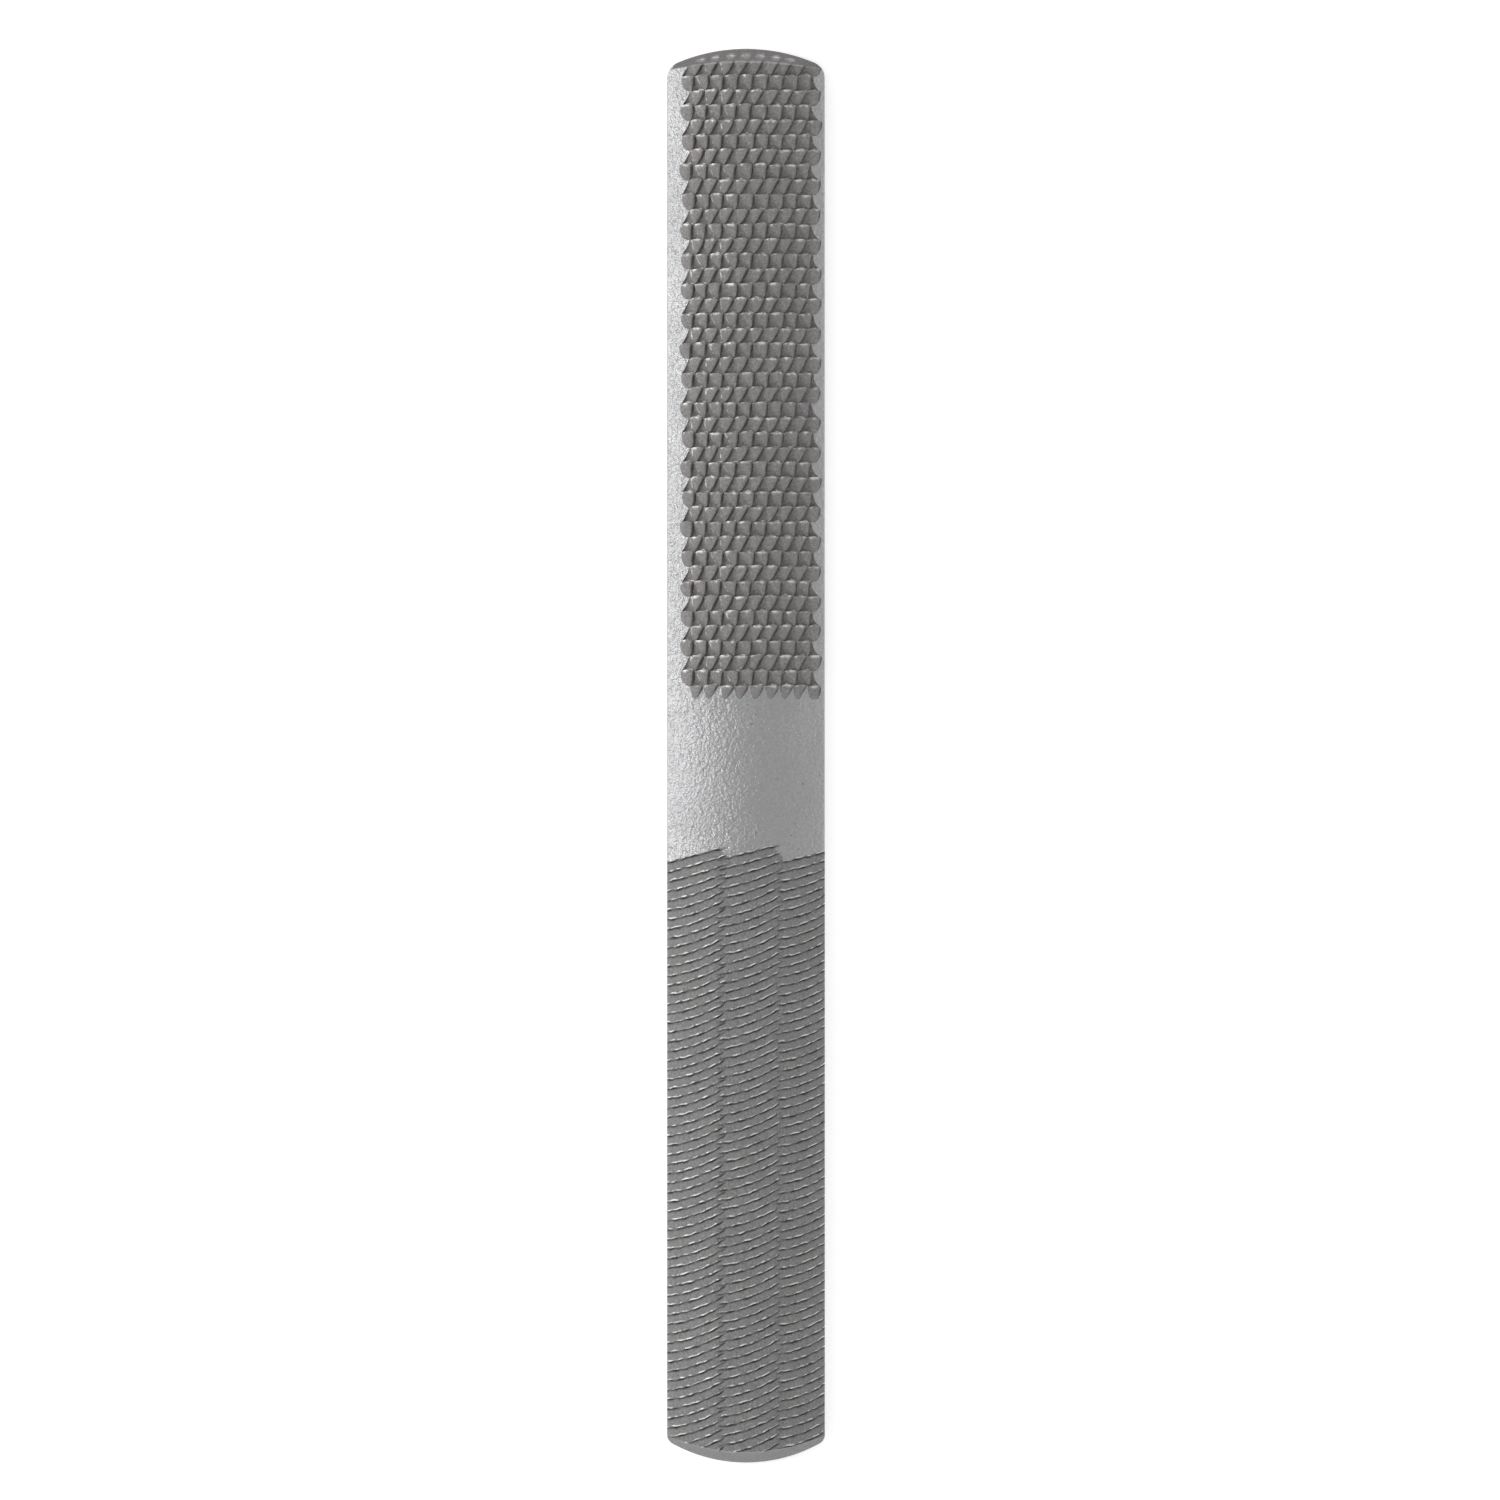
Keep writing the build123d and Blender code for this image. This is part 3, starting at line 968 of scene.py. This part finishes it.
def course_columns(courses, index, shape):
    """Places across a course's strip, closer on the rounded edge and where courses cross."""
    _, _, start, end = edge_arc(shape)
    seams = [-end, arc_of(shape, COURSE_BOXES[0][1].x), arc_of(shape, COURSE_BOXES[1][1].x), end]
    low, high = seams[index], seams[index + 1]
    marks = [np.arange(low, high, 0.34 * MM), [low, high]]
    for other in neighbours(courses, index):
        lap_low, lap_high = max(other.left, low), min(other.right, high)
        if lap_high > lap_low:
            marks.append(np.arange(lap_low, lap_high, 0.17 * MM))
    for side in (-1, 1):
        marks.append(side * np.linspace(start, end, 5))
        marks.append(side * (start - np.array([0.15, 0.4, 0.7, 1.1, 1.6, 2.1]) * MM))
    columns = np.unique(np.round(np.concatenate(marks), 8))
    columns = columns[(columns > low + 0.05 * MM) & (columns < high - 0.05 * MM)]
    keep = np.diff(columns, prepend=low) > 0.05 * MM
    return np.concatenate([[low], columns[keep], [high]])


def course_sheet(index, courses, shape, cutting):
    """Vertices over one course, in lines along its own grooves, which its neighbours' cross."""
    course = courses[index]
    columns = course_columns(courses, index, shape)
    count = math.ceil((HALF_LENGTH + GRIP_FROM) / cutting.pitch) + 3
    numbers = (np.arange(count)[:, None] + GROOVE_AT[None, :-1]).ravel()
    s, line = np.meshgrid(columns, np.concatenate([[-0.09], numbers]))
    y = course.along(s, line)
    share = np.linspace(0, 1, 20, endpoint=False)[:, None]
    above = GRIP_FROM + (y[:1] - GRIP_FROM) * share
    s = np.concatenate([np.repeat(s[:1], len(share), axis=0), s])
    y = np.concatenate([above, y])
    h = course.height(s, np.concatenate([np.full_like(above, -0.5), line]))
    for other in neighbours(courses, index):
        inside = (s > other.left) & (s < other.right)
        theirs = other.height(s, other.line_at(s, y))
        cut_in = np.minimum(h, theirs)
        both = np.where(cut_in < -0.04 * MM, cut_in, np.maximum(h, theirs))
        h = np.where(inside, both, h)
    h[0] = 0.0
    return s, y, h


class RASP_OT_round_file(bpy.types.Operator):
    """Model the three courses of slanted file teeth on the round side"""

    bl_idname = "rasp.round_file"
    bl_label = "Round-side file courses"

    def execute(self, context):
        shape, cutting = context.scene.rasp_bar, context.scene.rasp_file
        courses = file_courses(shape, cutting)
        for index, name in enumerate(COURSES):
            s, y, h = course_sheet(index, courses, shape, cutting)
            # Burr crests painted bright: wear, and a painted highlight
            highlight_and_shade = np.clip(h / cutting.burr, 0.0, 1.0)
            places, h, polish = over_the_bevel(shape, s, y, h, highlight_and_shade, False, np.zeros_like)
            relief = np.where(h > 0, h / cutting.burr, h / cutting.groove_depth)
            obj = sheet(f"round_file_cut_{name}", places, relief, polish)
            close_over_core(obj, shape)
            pick = below_first_line(courses, index, shape)
            steels = ("ground_steel", "file_steel")
            finish_piece(obj, f"round_file_teeth_{name}", steels, pick)
        return {"FINISHED"}


def below_first_line(courses, index, shape):
    """Picks the second finish below the first crest that reaches a face."""

    def pick(obj):
        x, y, _ = read(obj.data.polygons, "center", 3).T
        s = shape.crown_radius * np.arcsin(np.clip(x, -HALF_WIDTH, HALF_WIDTH) / shape.crown_radius)
        cut_here = courses[index].line_at(s, y) > 3
        for course in courses[max(index - 1, 0) : index + 2]:
            cut_here |= course.covers(s, y)
        return cut_here

    return pick


# ---- the flat side


def close_over_flat(obj, top):
    """Closes a flat-side sheet up to the level where it meets the blank."""
    close_sheet(obj, lambda places: np.column_stack([places[:, :2], np.full(len(places), top)]))


class RASP_OT_flat_file(bpy.types.Operator):
    """Model the flat side's double-cut file teeth"""

    bl_idname = "rasp.flat_file"
    bl_label = "Flat-side file teeth"

    def execute(self, context):
        shape, cutting = context.scene.rasp_bar, context.scene.rasp_file
        first, last = FLAT_FILE_LOW.y, HALF_LENGTH
        up, over = cutting.upcut_slope, cutting.overcut_slope
        up_at = np.array([0.0, 0.09, 0.2, 0.45, 0.8])
        up_level = np.array([0.0, -1.0, -1.0, -0.15, -0.03])
        over_at = np.array([0.0, 0.08, 0.17, 0.34, 0.7])
        over_level = np.array([0.0, -0.75, -0.75, 0.0, 0.0])

        def lines(pitch, slope, at):
            spread = HALF_WIDTH * abs(slope)
            count = int((last - first + 2 * spread) / pitch) + 2
            start = first - spread - pitch / 2
            return (start + pitch * (np.arange(count)[:, None] + at)).ravel(), count

        up_lines, up_count = lines(cutting.pitch, up, up_at)
        over_lines, over_count = lines(cutting.overcut_pitch, over, over_at)
        a, b = np.meshgrid(up_lines, over_lines, indexing="ij")
        up_level, over_level = np.tile(up_level, up_count), np.tile(over_level, over_count)
        level = np.minimum(up_level[:, None], over_level[None, :])
        x = (a - b) / (over - up)
        y = a + up * x
        h = (0.39 + level * 0.38) * MM
        wide = np.abs(x) > HALF_WIDTH
        x = np.clip(x, -HALF_WIDTH, HALF_WIDTH)
        short = y < first
        y = np.maximum(y, first)
        places, beyond = flat_points(shape, x, y, h)
        # Uncut lands painted bright: wear, and a painted highlight
        polish = (up_level == 0)[:, None] * (level == 0) * 1.0
        obj = sheet("flat_file_cut", places, level, polish, beyond | wide | short)
        close_over_flat(obj, FLAT_FILE_HIGH.z)
        finish_piece(obj, "flat_file_teeth", ("file_steel",))
        return {"FINISHED"}


class RASP_OT_flat_rasp(bpy.types.Operator):
    """Model the flat side's field of burr teeth"""

    bl_idname = "rasp.flat_rasp"
    bl_label = "Flat-side rasp teeth"

    def execute(self, context):
        shape, cutting = context.scene.rasp_bar, context.scene.rasp_teeth
        rows = int((cutting.first_row + FLAT_RASP_HIGH.y) / cutting.row_pitch)
        span = cutting.column_pitch * (TEETH - 1) + cutting.row_shift
        centring = -(cutting.first_column + span / 2)
        left, right = -HALF_WIDTH - centring, HALF_WIDTH - centring
        s, y, h, polish = rasp_lattice(cutting, rows, cutting.flat_height, left, right, 23)
        y[-1] = -FLAT_RASP_HIGH.y
        x, y = s + centring, -y
        places, beyond = flat_points(shape, x, y, h)
        relief = rasp_relief(h, cutting.flat_height, cutting.pit_depth)
        obj = sheet("flat_rasp_cut", places, relief, polish, beyond)
        close_over_flat(obj, FLAT_RASP_HIGH.z)
        finish_piece(obj, "flat_rasp_teeth", ("ground_steel", "rasp_steel"), land_or_cut)
        return {"FINISHED"}


# ---- the stage


def soft_light(name, power, size, place):
    """A large area light that looks at the bar."""
    bpy.ops.object.light_add(type="AREA", location=place)
    lamp = bpy.context.object
    lamp.name = name
    lamp.data.shape = "RECTANGLE"
    lamp.data.size, lamp.data.size_y = size
    lamp.data.energy = power
    lamp.rotation_euler = (-Vector(place)).to_track_quat("-Z", "Y").to_euler()


class RASP_OT_stage(bpy.types.Operator):
    """Set the pale floor, the soft lights and the camera"""

    bl_idname = "rasp.stage"
    bl_label = "Stage"

    def execute(self, context):
        studio = context.scene.rasp_studio
        bpy.ops.mesh.primitive_plane_add(size=12.0)
        floor = fresh("floor")
        nodes = Nodes("floor_paper")
        tone = nodes.mix(nodes.noise(40 * MM), scaled(studio.floor, 0.99), studio.floor)
        nodes.link(tone, nodes.shader.inputs["Base Color"])
        nodes.shader.inputs["Roughness"].default_value = 0.9
        nodes.shader.inputs["Emission Color"].default_value = (*studio.floor, 1.0)
        nodes.shader.inputs["Emission Strength"].default_value = studio.floor_glow
        floor.data.materials.append(nodes.material)
        world = bpy.data.worlds.new("surround")
        context.scene.world = world
        world.use_nodes = True
        world.node_tree.nodes["Background"].inputs["Color"].default_value = (*[studio.surround] * 3, 1.0)
        for name, size, place in (
            ("key", (0.5, 1.4), (-1.2, 0.1, 0.6)),
            ("fill", (0.8, 1.2), (1.2, 0.0, 0.8)),
            ("foot", (1.0, 0.6), (-0.1, -1.2, 0.8)),
            ("head", (0.8, 0.5), (-0.3, 1.2, 0.7)),
        ):
            soft_light(name, getattr(studio, name), size, place)
        middle = Vector((studio.view_x, studio.view_y, CROWN_Z / 2))
        above = Vector((0, 0, studio.view_distance))
        bpy.ops.object.camera_add(location=middle + above, rotation=(0, 0, 0))
        camera = context.object
        camera.name = "camera"
        camera.data.lens = camera.data.sensor_width * studio.view_distance / studio.view_width
        camera.data.clip_start, camera.data.clip_end = 0.01, 50.0
        context.scene.camera = camera
        context.scene.view_settings.view_transform = "Standard"
        return {"FINISHED"}


# ---- add-on

GROUPS = (
    ("rasp_bar", BarShape, "Bar"),
    ("rasp_teeth", RaspCut, "Rasp teeth"),
    ("rasp_file", FileCut, "File teeth"),
    ("rasp_finishes", Finishes, "Finishes"),
    ("rasp_studio", Studio, "Studio"),
)
OPERATORS = (
    RASP_OT_blank,
    RASP_OT_round_rasp,
    RASP_OT_round_file,
    RASP_OT_flat_file,
    RASP_OT_flat_rasp,
    RASP_OT_stage,
)


class RASP_PT_panel(bpy.types.Panel):
    """Sizes, finishes and build steps of the rasp"""

    bl_idname = "RASP_PT_panel"
    bl_label = "Four-way rasp"
    bl_space_type = "VIEW_3D"
    bl_region_type = "UI"
    bl_category = "Rasp"

    def draw(self, context):
        for attribute, group, label in GROUPS:
            box = self.layout.box()
            box.label(text=label)
            for name in group.__annotations__:
                box.prop(getattr(context.scene, attribute), name)
        for operator in OPERATORS:
            self.layout.operator(operator.bl_idname)


def register():
    """Registers the settings, operators and panel."""
    for attribute, group, _ in GROUPS:
        bpy.utils.register_class(group)
        setattr(bpy.types.Scene, attribute, bpy.props.PointerProperty(type=group))
    for cls in (*OPERATORS, RASP_PT_panel):
        bpy.utils.register_class(cls)


def unregister():
    """Takes them away again."""
    for cls in (RASP_PT_panel, *reversed(OPERATORS)):
        bpy.utils.unregister_class(cls)
    for attribute, group, _ in reversed(GROUPS):
        delattr(bpy.types.Scene, attribute)
        bpy.utils.unregister_class(group)


def main():
    """Builds every piece and the stage."""
    register()
    bpy.ops.rasp.blank()
    bpy.ops.rasp.round_rasp()
    bpy.ops.rasp.round_file()
    bpy.ops.rasp.flat_file()
    bpy.ops.rasp.flat_rasp()
    bpy.ops.rasp.stage()


if __name__ == "__main__":
    main()
